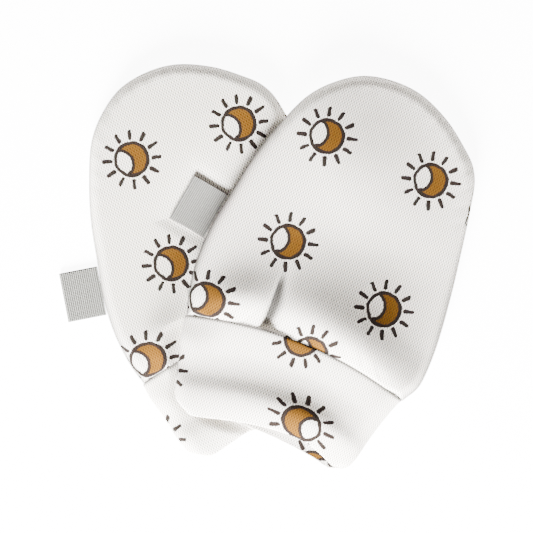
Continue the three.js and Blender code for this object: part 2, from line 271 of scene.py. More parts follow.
def footprint():
    """The whole mitten's outline as radius against direction from the pouch's centre."""
    points = [(row["u"], row["v"]) for row in POUCH_OUTLINE]
    for row in CUFF_SECTIONS[1:]:
        for u in (row["left"], row["right"]):
            points.append((u, mix(wrist_seam(u), arc(HEM_BACK, u), row["along"])))
    points += [(u, float(arc(HEM_BACK, u))) for u in (-15, 0, 15)]
    angle, radius = polar(*np.array(points, dtype=float).T)
    order = np.argsort(angle)
    return angle[order], radius[order]


FOOTPRINT = footprint()


def outside(place, x, y):
    """How far a point lies outside a mitten's outline; below 0 inside it."""
    angle, radius = polar(*to_mitten(place, x, y))
    return radius - np.interp(angle, *FOOTPRINT, period=2 * math.pi)


print("farthest from the centre:", round(float(FOOTPRINT[1].max()), 1), "mm")

# %% [markdown]
# The upper mitten rides over the lower one and comes down to the table beyond its edge. The lower
# one is pressed flat below it, and gives way under the folded tag. Physics could find this, but a
# height that fades with the distance from the other's outline does it at once and without
# cuts between the layers.

# %% One mitten over the other


def base_height(place, x, y):
    if place is LOWER:
        return np.zeros_like(x)
    beyond = np.clip(outside(LOWER, x, y) / DRAPE_REACH, 0, 1)
    return (PRESSED_HEIGHT + SEAM_GAP) * (1 - smooth(0, 1, beyond))


def under_tag(x, y):
    """1 below the upper mitten's tag, fading to 0 beside it."""
    turn = math.radians(TAG["turn"])
    u, v = to_mitten(UPPER, x, y)
    out = (u - TAG["u"]) * math.cos(turn) + (v - TAG["v"]) * math.sin(turn)
    across = (v - TAG["v"]) * math.cos(turn) - (u - TAG["u"]) * math.sin(turn)
    half = TAG["reach"] / 2
    beside = np.maximum(np.abs(out - half) - half, np.abs(across) - TAG["width"] / 2)
    return 1 - smooth(0, TAG_PRESS["beside"], beside)


def pressed(place, x, y, height):
    if place is UPPER:
        return height
    free = smooth(0, PRESS_EDGE["reach"], outside(UPPER, x, y))
    height = soft_lower(height, PRESSED_HEIGHT + PRESS_EDGE["rise"] * free)
    return height - TAG_PRESS["depth"] * under_tag(x, y)


print("the upper mitten lies at", PRESSED_HEIGHT + SEAM_GAP, "mm")

# %% [markdown]
# The top of the front panel adds up all the forms: a low crown over the palm, the folds and the
# tuck. The seam at the wrist lies in a groove that is lower at the left. Both end in the same
# pressing, so that neighbouring pieces always meet.

# %% Height of the front
PALM = dict(rise=0.5, wide=27, at=52, long=34)
GROOVE = dict(height=7.4, dip=2.2, dip_from=-20, dip_to=-35)


def crown(place, u, v):
    """Height of the top of the front panel away from its edges."""
    palm = PALM["rise"] * np.exp(-((u / PALM["wide"]) ** 2) - ((v - PALM["at"]) / PALM["long"]) ** 2)
    folds = sum(fold_height(row, u, v - wrist_seam(u)) for row in PANEL_FOLDS)
    free = CROWN_HEIGHT + palm + folds + tuck_height(u, v)
    return pressed(place, *to_world(place, u, v), -soft_lower(-free, -THINNEST))


def groove(place, u):
    dip = GROOVE["dip"] * smooth(GROOVE["dip_from"], GROOVE["dip_to"], u)
    return pressed(place, *to_world(place, u, wrist_seam(u)), GROOVE["height"] - dip)


print("upper palm at", round(float(crown(UPPER, np.array([0.0]), np.array([52.0]))[0]), 2), "mm")

# %% [markdown]
# A panel is built of rings of points in fixed columns. They start at the seam and run to the
# pouch's centre, over the side or, at the open wrist, over the puff above the cuff. The outline's
# points are joined by a smooth curve that passes through each of them and never loops, and the
# columns are spaced evenly along it, so that the cloth's mesh is even too.

# %% Columns round a pouch
SIDE_COLUMNS = 260
WRIST_COLUMNS = 130
WRIST_LENGTH = 74.0
CURVE_STEPS = 40


def centripetal(points, count):
    """count points, evenly spaced, on a smooth curve through points, as a spline of this kind is."""
    points = np.array(points, dtype=float)
    first, last = 2 * points[0] - points[1], 2 * points[-1] - points[-2]
    full = np.vstack([first, points, last])
    fine = []
    for p0, p1, p2, p3 in zip(full[:-3], full[1:-2], full[2:-1], full[3:]):
        step = [max(np.linalg.norm(b - a), 1e-6) ** 0.5 for a, b in ((p0, p1), (p1, p2), (p2, p3))]
        m1 = p2 - p1 + step[1] * ((p1 - p0) / step[0] - (p2 - p0) / (step[0] + step[1]))
        m2 = p2 - p1 + step[1] * ((p3 - p2) / step[2] - (p3 - p1) / (step[1] + step[2]))
        t = np.linspace(0, 1, CURVE_STEPS, endpoint=False)[:, None]
        fine.append(between(p1, m1, p2, m2, t))
    fine = np.vstack(fine + [points[-1:]])
    length = np.concatenate([[0], np.cumsum(np.linalg.norm(np.diff(fine[:, :2], axis=0), axis=1))])
    where = np.linspace(0, length[-1], count, endpoint=False)
    return np.column_stack([np.interp(where, length, fine[:, i]) for i in range(3)]), where


def pouch_columns():
    rows = [(row["u"], row["v"], row["seam"]) for row in POUCH_OUTLINE]
    side, run = centripetal(rows, SIDE_COLUMNS)
    t = np.arange(WRIST_COLUMNS) / WRIST_COLUMNS
    u = mix(rows[-1][0], rows[0][0], t)
    seam = mix(rows[-1][2], rows[0][2], t)
    is_open = smooth(0, CORNER_SHARE, t) * smooth(1, 1 - CORNER_SHARE, t)
    return dict(
        u=np.concatenate([side[:, 0], u]),
        v=np.concatenate([side[:, 1], wrist_seam(u)]),
        seam=np.radians(np.concatenate([side[:, 2], seam])),
        wrist=np.concatenate([np.zeros(SIDE_COLUMNS), is_open]),
        run=np.concatenate([run, run[-1] + WRIST_LENGTH * t]),
    )


COLUMNS = pouch_columns()
print("pouch columns:", len(COLUMNS["u"]))

# %% [markdown]
# Where cloth is eased into a seam it puckers. Real stitches would need thousands of points, and a
# bump would be flat at the rim. Two waves of different length, strongest just inside the seam,
# give ripples that never look regular.

# %% Puckers at the seams
TIP_PUCKER = dict(height=0.07, pitch=6.3, reach=4.0)
WRIST_PUCKER = dict(height=0.1, pitch=7.2, reach=5.0)


def in_from(inwards):
    """Points inwards from each column's silhouette, on the line to the pouch's centre."""
    du, dv = CENTRE["u"] - COLUMNS["u"], CENTRE["v"] - COLUMNS["v"]
    share = inwards / np.hypot(du, dv)
    return COLUMNS["u"] + du * share, COLUMNS["v"] + dv * share


def pucker(inwards):
    """Small uneven ripples where the cloth is eased into a seam."""
    run = COLUMNS["run"]
    rows = ((TIP_PUCKER, (COLUMNS["v"] > 60) * 1.0), (WRIST_PUCKER, COLUMNS["wrist"]))
    total = 0
    for row, here in rows:
        turns = 2 * math.pi * run / row["pitch"]
        wave = np.sin(turns) + 0.7 * np.sin(2.2 * turns + 1.3)
        total = total + here * row["height"] * wave * np.exp(-(((inwards - 2) / row["reach"]) ** 2))
    return total


print("highest pucker:", round(float(pucker(2.0).max()), 3), "mm")

# %% [markdown]
# At the side the cloth comes out of the seam and bends over the rim in a quarter of an ellipse.
# The same function, given a depth, makes the inner face. Close to a seam, shade is painted into the cloth's
# colour, as a baked occlusion could show it. Here it is worked out from the angle of the bend.

# %% Bend over the rim
# Painted shade: how dark the cloth's colour is made at the rims, the fingertips, the wrist seam and the
# cuff's sides.
PAINTED_RIM_SHADE = dict(dark=0.08, tip=0.15, tip_from=20, tip_to=70, reach=1.5, tip_reach=0.95, wrist=0.3, cuff=0.75)


def side_section(place, angle, depth):
    rounding = np.where(angle > 0, TOP_ROUNDING, UNDER_ROUNDING)
    inwards = depth + (rounding - depth) * (1 - np.cos(angle))
    reach = np.where(angle > 0, crown(place, *in_from(inwards)) - SILHOUETTE_HEIGHT, SILHOUETTE_HEIGHT)
    return inwards, SILHOUETTE_HEIGHT + (reach - depth) * np.sin(angle)


def world_row(place, u, v, height):
    x, y = to_world(place, u, v)
    return np.column_stack([x, y, height + base_height(place, x, y)])


def painted_rim_shade(angle, share):
    """Painted shade: how much the cloth's colour is darkened near a seam, from the angle of the bend."""
    at_tip = smooth(PAINTED_RIM_SHADE["tip_from"], PAINTED_RIM_SHADE["tip_to"], COLUMNS["v"])
    darkest = mix(PAINTED_RIM_SHADE["dark"], PAINTED_RIM_SHADE["tip"], at_tip)
    rim = mix(darkest, 1, smooth(0.1, mix(PAINTED_RIM_SHADE["reach"], PAINTED_RIM_SHADE["tip_reach"], at_tip), angle))
    wrist = mix(PAINTED_RIM_SHADE["wrist"], 1, smooth(0, 0.3, share))
    return mix(rim, wrist, COLUMNS["wrist"])


print("rounding of the front:", TOP_ROUNDING, "mm, of the back:", UNDER_ROUNDING, "mm")

# %% [markdown]
# A knit and a print must not stretch where the cloth turns down at a rim. An unwrapped UV map would
# do, but the cloth's own place is already known for each point, so it is carried on round the bend
# by the distance along the surface.

# %% Cloth laid out flat


def unrolled(rows, cloth, fold_line):
    """Cloth places of the rows round an edge, laid out flat from the row where the bend starts."""
    flat = list(cloth)
    for r in range(fold_line - 1, -1, -1):
        along = cloth[r] - cloth[fold_line]
        along /= np.maximum(np.linalg.norm(along, axis=1), 1e-6)[:, None]
        step = np.linalg.norm(rows[r] - rows[r + 1], axis=1)[:, None]
        flat[r] = flat[r + 1] + along * step
    return flat


print("length of the side seam:", round(float(COLUMNS["run"][SIDE_COLUMNS]), 1), "mm")

# %% [markdown]
# The front panel is the palm side that shows. Its first rows bend over the rim or over the puff at
# the wrist, and the others run in to the centre, a little closer together near the rim. A grid in
# columns was chosen over a filled face, because it has no long triangles to catch the light.

# %% Rows of the front panel
EDGE_ROWS = 14
CROWN_ROWS = 46
SEAM_SLIT = 0.03
CROWN_SPACING = 1.15


def front_rows(place, depth):
    rows, cloth, shade = [], [], []
    wrist = COLUMNS["wrist"]
    for share in np.linspace(0, 1, EDGE_ROWS + 1):
        angle = mix(COLUMNS["seam"] + SEAM_SLIT, math.pi / 2, share)
        side_in, side_z = side_section(place, angle, depth)
        puff_in = WRIST_ROUNDING * share
        rise = 1 - (1 - share) ** PUFF_FULLNESS
        puff_z = mix(groove(place, COLUMNS["u"]), crown(place, *in_from(puff_in)), rise) - depth
        inwards = mix(side_in, puff_in + SEAM_GAP / 2, wrist)
        height = mix(side_z, puff_z, wrist) + pucker(inwards) * math.sin(share * math.pi / 2)
        u, v = in_from(inwards)
        rows.append(world_row(place, u, v, height))
        cloth.append(np.column_stack([u, v]))
        shade.append(painted_rim_shade(angle, share))
    start = mix(TOP_ROUNDING, WRIST_ROUNDING + SEAM_GAP / 2, wrist)
    reach = np.hypot(CENTRE["u"] - COLUMNS["u"], CENTRE["v"] - COLUMNS["v"])
    for share in np.arange(1, CROWN_ROWS) / CROWN_ROWS:
        inwards = mix(start, reach, share**CROWN_SPACING)
        u, v = in_from(inwards)
        rows.append(world_row(place, u, v, crown(place, u, v) - depth + pucker(inwards)))
        cloth.append(np.column_stack([u, v]))
        shade.append(1 - VALLEY_SHADE["depth"] * tuck_shade(u, v))
    u, v = np.array([CENTRE["u"]]), np.array([CENTRE["v"]])
    pole = world_row(place, u, v, crown(place, u, v) - depth)
    return rows, unrolled(rows, cloth, EDGE_ROWS), shade, pole


print("rows of the front panel:", EDGE_ROWS + CROWN_ROWS)

# %% [markdown]
# The back panel lies flat on the table and comes up to the side seam, under the left edge and over
# the right one, so that a strip of it shows at the right. It is made like the front, with fewer
# rows, because a flat field needs none.

# %% Rows of the back panel
UNDER_ROWS = 16


def back_rows(place, depth):
    rows, cloth, shade = [], [], []
    wrist = COLUMNS["wrist"]
    for share in np.linspace(0, 1, EDGE_ROWS + 1):
        angle = mix(COLUMNS["seam"] - SEAM_SLIT, -math.pi / 2, share)
        side_in, side_z = side_section(place, angle, depth)
        u, v = in_from(mix(side_in, SEAM_GAP / 2 + UNDER_ROUNDING * share, wrist))
        rows.append(world_row(place, u, v, mix(side_z, depth, wrist)))
        cloth.append(np.column_stack([u, v]))
        shade.append(painted_rim_shade(angle, share))
    reach = np.hypot(CENTRE["u"] - COLUMNS["u"], CENTRE["v"] - COLUMNS["v"])
    for share in np.arange(1, UNDER_ROWS) / UNDER_ROWS:
        u, v = in_from(mix(UNDER_ROUNDING + SEAM_GAP / 2, reach, share))
        rows.append(world_row(place, u, v, np.full_like(u, depth)))
        cloth.append(np.column_stack([u, v]))
        shade.append(np.ones_like(u))
    u, v = np.array([CENTRE["u"]]), np.array([CENTRE["v"]])
    return rows, unrolled(rows, cloth, EDGE_ROWS), shade, world_row(place, u, v, np.array([depth]))


print("rows of the back panel:", EDGE_ROWS + UNDER_ROWS)

# %% [markdown]
# The cuff is a flattened tube of rings that run from the wrist seam to the hem, closer together
# near the hem. Its lower layer is a little longer and curls up there, so that a strip of the
# inside shows. A lathe could make a round tube only, and these rings follow the table instead.

# %% Rings of the cuff
CUFF_COLUMNS = 300
CUFF_ROWS = 32
CURL_ROWS = 20
CURL_START = 0.79
HEM_CURL = dict(height=3.2, left=-14, right=4, start=0.62, full=0.84, ease=0.15)


def smooth_table(keys, values, at):
    """A value between rows of a table, on a smooth curve through them."""
    keys, values = np.array(keys), np.array(values, dtype=float)
    slope = np.gradient(values, keys)
    i = int(np.clip(np.searchsorted(keys, at) - 1, 0, len(keys) - 2))
    h = keys[i + 1] - keys[i]
    t = (at - keys[i]) / h
    return between(values[i], h * slope[i], values[i + 1], h * slope[i + 1], t)


def cuff_rows(place, depth):
    rows, cloth, shade = [], [], []
    angle = 2 * math.pi * np.arange(CUFF_COLUMNS) / CUFF_COLUMNS
    on_top = np.sin(angle) > 0
    alongs, *columns = ([row[key] for row in CUFF_SECTIONS] for key in ("along", "left", "right", "top"))
    plain = np.linspace(0, CURL_START - 0.01, CUFF_ROWS)
    for along in np.concatenate([plain, np.linspace(CURL_START, 1, CURL_ROWS)]):
        left, right, top = (smooth_table(alongs, column, along) for column in columns)
        half = (right - left) / 2 - depth
        u = (left + right) / 2 + half * np.cos(angle)
        hem = mix(arc(HEM_BACK, u), arc(HEM_FRONT, u), 0.5 + 0.5 * np.sin(angle))
        hem = hem + HEM_CORNER["lift"] * smooth(HEM_CORNER["start"], 1, np.abs(np.cos(angle)))
        v = mix(wrist_seam(u) - SEAM_GAP / 2, hem, along)
        x, y = to_world(place, u, v)
        dip = (groove(place, u) - GROOVE["height"]) * smooth(0.35, 0, along)
        folds = sum(fold_height(row, u, v - wrist_seam(u)) for row in CUFF_FOLDS)
        full = pressed(place, x, y, top + dip + folds) - depth
        rounding = np.where(on_top, CUFF_ROUNDING, UNDER_ROUNDING) - depth
        short = 1 - np.clip(half * (1 - np.abs(np.cos(angle))) / rounding, 0, 1)
        curl = HEM_CURL["height"] * smooth(HEM_CURL["left"], HEM_CURL["right"], u)
        lifted = smooth(HEM_CURL["start"], HEM_CURL["full"], along)
        under = depth + curl * (lifted - HEM_CURL["ease"] * smooth(HEM_CURL["full"], 1, along))
        edge_height = np.maximum(SILHOUETTE_HEIGHT, mix(under, full, 0.5))
        height = mix(edge_height, np.where(on_top, full, under), np.sqrt(1 - short**2))
        row = np.column_stack([x, y, height + base_height(place, x, y)])
        step = np.linalg.norm(row - np.roll(row, 1, axis=0), axis=1)
        run = np.cumsum(step) - step[0]
        top_middle = np.interp(math.pi / 2, angle, run)
        rows.append(row)
        cloth.append(np.column_stack([(left + right) / 2 + top_middle - run, v]))
        # Painted shade on the cuff's sides and underside, and a painted dark line at the wrist seam.
        side = mix(PAINTED_RIM_SHADE["cuff"], 1, smooth(0, 0.5, np.sin(angle)))
        shade.append(np.minimum(side, mix(PAINTED_RIM_SHADE["wrist"], 1, smooth(0, 0.04, along))))
    return rows, cloth, shade, None


print("rings of the cuff:", CUFF_ROWS + CURL_ROWS)

# %% [markdown]
# The print lies on the flat cloth, so each point of a mesh is told how far it is from the nearest
# sun, in that sun's own turn. An image would blur close by. This offset lets the shader draw the
# sun by formula, sharp at any distance.

# %% Offset to the nearest sun
SUN_NEAR = 10.4
NO_SUN = 99


def sun_offsets(cloth, suns):
    """Offset to the nearest sun, in that sun's own turn, and 1 where one is near."""
    out = np.zeros((len(cloth), 3))
    out[:, :2] = NO_SUN
    best = np.full(len(cloth), np.inf)
    for sun in suns:
        turn = math.radians(sun.get("turn", 0))
        du, dv = cloth[:, 0] - sun["u"], cloth[:, 1] - sun["v"]
        du, dv = du * math.cos(turn) + dv * math.sin(turn), dv * math.cos(turn) - du * math.sin(turn)
        du, dv = du / sun.get("stretch", 1), dv / sun.get("tall", 1)
        distance = np.hypot(du, dv)
        closer = distance < best
        best[closer] = distance[closer]
        out[closer] = np.column_stack([du, dv, distance < SUN_NEAR])[closer]
    return out


print("a sun reaches", SUN_NEAR, "mm from its middle")

# %% [markdown]
# Cloth has a thickness, and its cut edge is round. A Solidify modifier would give the thickness but
# not the inside's own print. So each shell joins an outer face, an inner face and a half round
# between them, and then has its faces turned out and smoothed.

# %% Edges and finish of a mesh
LIP_STEPS = 5
SEAM_ROUNDNESS = 0.4


def lip(outer, inner, beyond, roundness):
    """Rings over the cut edge between the outer and the inner face, in a half round."""
    middle, half = (outer + inner) / 2, (outer - inner) / 2
    out = outer - beyond
    out /= np.maximum(np.linalg.norm(out, axis=1), 1e-6)[:, None]
    out *= roundness * np.linalg.norm(half, axis=1)[:, None]
    angles = math.pi * np.arange(1, LIP_STEPS) / LIP_STEPS
    return [middle + half * math.cos(angle) + out * math.sin(angle) for angle in angles]


def finish_mesh(name, mesh, material):
    """Turns the faces out, smooths them and adds the object."""
    work = bmesh.new()
    work.from_mesh(mesh)
    bmesh.ops.recalc_face_normals(work, faces=work.faces)
    work.to_mesh(mesh)
    work.free()
    mesh.polygons.foreach_set("use_smooth", [True] * len(mesh.polygons))
    mesh.materials.append(material)
    piece = bpy.data.objects.new(name, mesh)
    bpy.context.scene.collection.objects.link(piece)
    return piece


print("steps over a cut edge:", LIP_STEPS)

# %% [markdown]
# A panel's shell is closed by a fan at its centre, and a cuff's shell is a double tube that closes
# at the hem. One function makes both from their rings, because apart from that they are alike.
# Each point carries its place on the cloth, its painted shade and the offset to its sun.

# %% Shell of cloth


def shell(name, make_rows, place, thickness, suns, material, inner_suns):
    outer, cloth, shade, pole = make_rows(place, 0)
    inner, _, _, inner_pole = make_rows(place, thickness)
    places = [np.column_stack([c, s]) for c, s in zip(cloth, shade)]
    lining = list(places)
    if inner_suns:
        lining = []
        for row, light in zip(inner, shade):
            lining.append(np.column_stack([*to_mitten(place, row[:, 0], row[:, 1]), light]))
    edge = lip(outer[0], inner[0], outer[1], SEAM_ROUNDNESS)
    rings = edge[::-1] + outer
    flat = [places[0]] * len(edge) + places
    inside = [suns] * len(rings)
    if pole is None:
        hem = lip(outer[-1], inner[-1], outer[-2], 1)
        rings += hem
        flat += [places[-1]] * len(hem)
        inside += [suns] * len(hem)
    split = len(rings)
    rings += inner[::-1]
    flat += lining[::-1]
    inside += [inner_suns or suns] * len(inner)
    offsets = [sun_offsets(row, near) for row, near in zip(flat, inside)]
    columns, count = len(rings[0]), len(rings)
    faces = []
    for r in range(count):
        if pole is not None and r == split - 1:
            continue
        a, b = r * columns, (r + 1) % count * columns
        for c in range(columns):
            d = (c + 1) % columns
            faces.append((a + c, a + d, b + d, b + c))
    if pole is not None:
        rings += [pole, inner_pole]
        flat += [np.array([[CENTRE["u"], CENTRE["v"], 1]])] * 2
        offsets += [np.array([[NO_SUN, NO_SUN, 0]])] * 2
        for c in range(columns):
            d = (c + 1) % columns
            faces.append(((split - 1) * columns + c, (split - 1) * columns + d, count * columns))
            faces.append((split * columns + d, split * columns + c, count * columns + 1))
    mesh = bpy.data.meshes.new(name)
    mesh.from_pydata((np.vstack(rings) * MM).tolist(), [], faces)
    # cloth_mm holds the place on the cloth in x and y and the painted shade in z.
    for key, values in (("cloth_mm", flat), ("sun_mm", offsets)):
        made = mesh.attributes.new(key, "FLOAT_VECTOR", "POINT")
        made.data.foreach_set("vector", np.vstack(values).astype(float).ravel())
    return finish_mesh(name, mesh, material)


print("columns of a shell: pouch", len(COLUMNS["u"]), "and cuff", CUFF_COLUMNS)

# %% [markdown]
# A shader can be drawn in the node editor. In a script a formula of many math nodes is long, so a
# small helper adds a node, sets it and links it in one call, and the formulae below read as such.

# %% Node helper


class Tree:
    def __init__(self, tree):
        self.tree = tree

    def node(self, kind, **settings):
        made = self.tree.nodes.new(kind)
        for key, value in settings.items():
            setattr(made, key, value)
        return made

    def plug(self, socket, value):
        if hasattr(value, "is_output"):
            self.tree.links.new(value, socket)
        else:
            socket.default_value = value

    def math(self, operation, *values):
        made = self.node("ShaderNodeMath", operation=operation)
        for socket, value in zip(made.inputs, values):
            self.plug(socket, value)
        return made.outputs[0]

    def distance(self, a, b):
        squares = self.math("ADD", self.math("POWER", a, 2), self.math("POWER", b, 2))
        return self.math("SQRT", squares)

    def vector(self, operation, a, b=None, scale=None):
        made = self.node("ShaderNodeVectorMath", operation=operation)
        self.plug(made.inputs[0], a)
        if b is not None:
            self.plug(made.inputs[1], b)
        if scale is not None:
            self.plug(made.inputs["Scale"], scale)
        return made.outputs["Vector"]

    def split(self, vector):
        made = self.node("ShaderNodeSeparateXYZ")
        self.plug(made.inputs[0], vector)
        return made.outputs

    def step(self, value, low, high):
        """0 below low, 1 above high, smooth between; falls where low is above high."""
        made = self.node("ShaderNodeMapRange", interpolation_type="SMOOTHSTEP")
        falls = low > high
        for socket, number in zip(("From Min", "From Max"), (high, low) if falls else (low, high)):
            made.inputs[socket].default_value = number
        for socket, number in zip(("To Min", "To Max"), (1, 0) if falls else (0, 1)):
            made.inputs[socket].default_value = number
        self.plug(made.inputs["Value"], value)
        return made.outputs["Result"]

    def attribute(self, name):
        return self.node("ShaderNodeAttribute", attribute_name=name).outputs["Vector"]

    def noise(self, vector, scale, detail=2.0, roughness=0.5):
        made = self.node("ShaderNodeTexNoise")
        self.plug(made.inputs["Vector"], vector)
        made.inputs["Scale"].default_value = scale
        made.inputs["Detail"].default_value = detail
        made.inputs["Roughness"].default_value = roughness
        return made

    def blend(self, factor, a, b):
        made = self.node("ShaderNodeMix", data_type="RGBA")
        self.plug(made.inputs["Factor"], factor)
        self.plug(made.inputs["A"], a)
        self.plug(made.inputs["B"], b)
        return made.outputs["Result"]


def new_material(name):
    material = bpy.data.materials.new(name)
    material.use_nodes = True
    shader = material.node_tree.nodes["Principled BSDF"]
    return material, Tree(material.node_tree), shader


print("helper calls:", [name for name in vars(Tree) if not name.startswith("_")])

# %% [markdown]
# The interlock knit has fine upright wales. In each, the stitches lean in turn to the left and the
# right, half a stitch lower on the next wale. Modelled loops would be millions of faces, so two
# crossed waves give the height, from 0 between stitches to 1 on top of one.

# %% Knit
WALE = 0.9
COURSE = 1.25


def knit_height(tree, cloth):
    """0 between stitches and 1 on top of one: staggered stitches on faint upright wales."""
    u, v, _ = tree.split(cloth)
    wale = tree.math("COSINE", tree.math("MULTIPLY", u, 2 * math.pi / WALE))
    course = tree.math("COSINE", tree.math("MULTIPLY", v, 2 * math.pi / COURSE))
    stitch = tree.math("MULTIPLY_ADD", tree.math("MULTIPLY", wale, course), 0.38, 0.5)
    return tree.math("MULTIPLY_ADD", wale, 0.12, stitch)


print("wales in 10 mm:", round(10 / WALE, 1))

# %% [markdown]
# Each sun is a ring with a crescent of ochre round a bare highlight, and twelve short rays. The
# lines look drawn by hand, so a little noise makes them waver. Distances from the ring, from the
# highlight's circle and from the nearest ray give soft masks for the two inks.

# %% Printed sun
DISC = 5.24
OUTLINE = 1.14
HOLE = dict(radius=4.4, out=4.25, angle=181)
RAYS = dict(count=12, phase=14.3, inner=6.2, outer=9.65, width=1.32)
WAVER = dict(scale=0.5, size=0.9)
INK_EDGE = 0.1
RAY_EDGE = 0.12


def sun_masks(tree, offset):
    """Ink of the printed sun: how much ochre and how much brown lies at a point."""
    waver = tree.noise(offset, WAVER["scale"], 1).outputs["Color"]
    waver = tree.vector("SCALE", tree.vector("SUBTRACT", waver, (0.5, 0.5, 0.5)), scale=WAVER["size"])
    x, y, _ = tree.split(tree.vector("ADD", offset, waver))
    near = tree.math("GREATER_THAN", tree.split(offset)[2], 0.5)
    radius = tree.distance(x, y)
    hole_u = HOLE["out"] * math.cos(math.radians(HOLE["angle"]))
    hole_v = HOLE["out"] * math.sin(math.radians(HOLE["angle"]))
    hole = tree.distance(tree.math("SUBTRACT", x, hole_u), tree.math("SUBTRACT", y, hole_v))
    in_disc = tree.step(radius, DISC + INK_EDGE, DISC - INK_EDGE)
    off_hole = tree.step(hole, HOLE["radius"] - INK_EDGE, HOLE["radius"] + INK_EDGE)
    ochre = tree.math("MULTIPLY", in_disc, off_hole)
    half = OUTLINE / 2
    off_ring = tree.math("ABSOLUTE", tree.math("SUBTRACT", radius, DISC))
    ring = tree.step(off_ring, half + INK_EDGE, half - INK_EDGE)
    off_circle = tree.math("ABSOLUTE", tree.math("SUBTRACT", hole, HOLE["radius"]))
    hole_ring = tree.step(off_circle, half + INK_EDGE, half - INK_EDGE)
    hole_ring = tree.math("MULTIPLY", hole_ring, in_disc)
    spacing = 2 * math.pi / RAYS["count"]
    angle = tree.math("SUBTRACT", tree.math("ARCTAN2", y, x), math.radians(RAYS["phase"]))
    angle = tree.math("DIVIDE", angle, spacing)
    turn = tree.math("MULTIPLY", tree.math("SUBTRACT", angle, tree.math("ROUND", angle)), spacing)
    off_ray = tree.math("MULTIPLY", radius, tree.math("SINE", turn))
    middle = (RAYS["inner"] + RAYS["outer"]) / 2
    reach = (RAYS["outer"] - RAYS["inner"] - RAYS["width"]) / 2
    beyond = tree.math("ABSOLUTE", tree.math("SUBTRACT", radius, middle))
    beyond = tree.math("MAXIMUM", tree.math("SUBTRACT", beyond, reach), 0)
    half_ray = RAYS["width"] / 2
    ray = tree.step(tree.distance(off_ray, beyond), half_ray + RAY_EDGE, half_ray - RAY_EDGE)
    brown = tree.math("MAXIMUM", tree.math("MAXIMUM", ring, hole_ring), ray)
    return tree.math("MULTIPLY", ochre, near), tree.math("MULTIPLY", brown, near)


print("a sun is", round(2 * RAYS["outer"], 1), "mm across")

# %% [markdown]
# The cloth is a warm white with a soft matt pile. The knit's relief is painted into the colour as shade
# between the stitches and light on their tops, a little less in the ochre. An image of a knit would repeat.
# Here colour, height and painted shade all come from the values that the mesh carries, however the piece is
# turned.

# %% Printed cloth
WHITE = (0.80, 0.755, 0.69, 1)
OCHRE = (0.110, 0.048, 0.0062, 1)
BROWN = (0.017, 0.012, 0.0098, 1)


def cloth_material():
    material, tree, shader = new_material("printed_interlock")
    cloth = tree.attribute("cloth_mm")
    knit = knit_height(tree, cloth)
    ochre, brown = sun_masks(tree, tree.attribute("sun_mm"))
    tone = tree.noise(cloth, 0.05, 3).outputs["Fac"]
    # Painted shade between the stitches and painted light on their tops, weaker on the ochre.
    painted_knit_depth = tree.math("MULTIPLY_ADD", ochre, -0.5, 1.7)
    shade = tree.math("MULTIPLY_ADD", tree.math("SUBTRACT", knit, 0.5), painted_knit_depth, 0.95)
    shade = tree.math("MULTIPLY", shade, tree.math("MULTIPLY_ADD", tone, 0.04, 0.98))
    # Painted shade at the rims, the seams and the tuck, carried in the z of cloth_mm.
    shade = tree.math("MULTIPLY", shade, tree.split(cloth)[2])
    colour = tree.blend(ochre, WHITE, OCHRE)
    colour = tree.blend(brown, colour, BROWN)
    tree.plug(shader.inputs["Base Color"], tree.vector("SCALE", colour, scale=shade))
    fuzz = tree.noise(cloth, 3.0, 3).outputs["Fac"]
    bump = tree.node("ShaderNodeBump")
    bump.inputs["Strength"].default_value = 0.8
    bump.inputs["Distance"].default_value = 0.2 * MM
    tree.plug(bump.inputs["Height"], tree.math("MULTIPLY_ADD", fuzz, 0.25, knit))
    tree.plug(shader.inputs["Normal"], bump.outputs[0])
    shader.inputs["Roughness"].default_value = 0.92
    shader.inputs["Specular IOR Level"].default_value = 0.05
    return material


CLOTH_MATERIAL = cloth_material()
print("cloth shader nodes:", len(CLOTH_MATERIAL.node_tree.nodes))

# %% [markdown]
# The suns are a plain scattered repeat. A scatter by chance would put them elsewhere, so a table
# says where each lies on the flat cloth, in a mitten's frame, how far it is turned and how far the
# cloth is stretched. At the wrist seam a sun on the palm and one on the cuff are both cut off.

# %% Where the suns lie
FRONT_SUNS = [
    dict(u=-13.8, v=70.4),
    dict(u=22.1, v=68.8),
    dict(u=-14.0, v=34.9),
    dict(u=21.8, v=25.2),
    dict(u=-31.9, v=8.9, stretch=1.1),
    dict(u=4.6, v=4.0),
]
CUFF_SUNS = [
    dict(u=0.4, v=7.6, turn=225),
    dict(u=9.6, v=-17.4, turn=165, stretch=1.22, tall=0.92),
    dict(u=-39.6, v=-16.7),
]
CUFF_INNER_SUNS = [
    dict(u=18.1, v=-29.9, turn=180, stretch=1.1),
]
BACK_SUNS = [
    dict(u=45.7, v=66.0),
    dict(u=8.0, v=58.0),
    dict(u=-26.0, v=56.0),
    dict(u=26.0, v=20.0),
    dict(u=-8.0, v=20.0),
]
print("suns on a mitten:", len(FRONT_SUNS + CUFF_SUNS + CUFF_INNER_SUNS + BACK_SUNS))

# %% [markdown]
# Now the six pieces of cloth are made, three for each mitten, and each takes the place of its
# solid. A copy of one mitten could be moved for the other, but the two lie and fold differently
# where they cross, so each is worked out in its own place.

# %% Pieces of cloth
CLOTH = 0.7
CLOTH_PIECES = [
    ("front_panel", "front_cloth", front_rows, FRONT_SUNS, None),
    ("back_panel", "back_cloth", back_rows, BACK_SUNS, None),
    ("cuff", "cuff_cloth", cuff_rows, CUFF_SUNS, CUFF_INNER_SUNS),
]

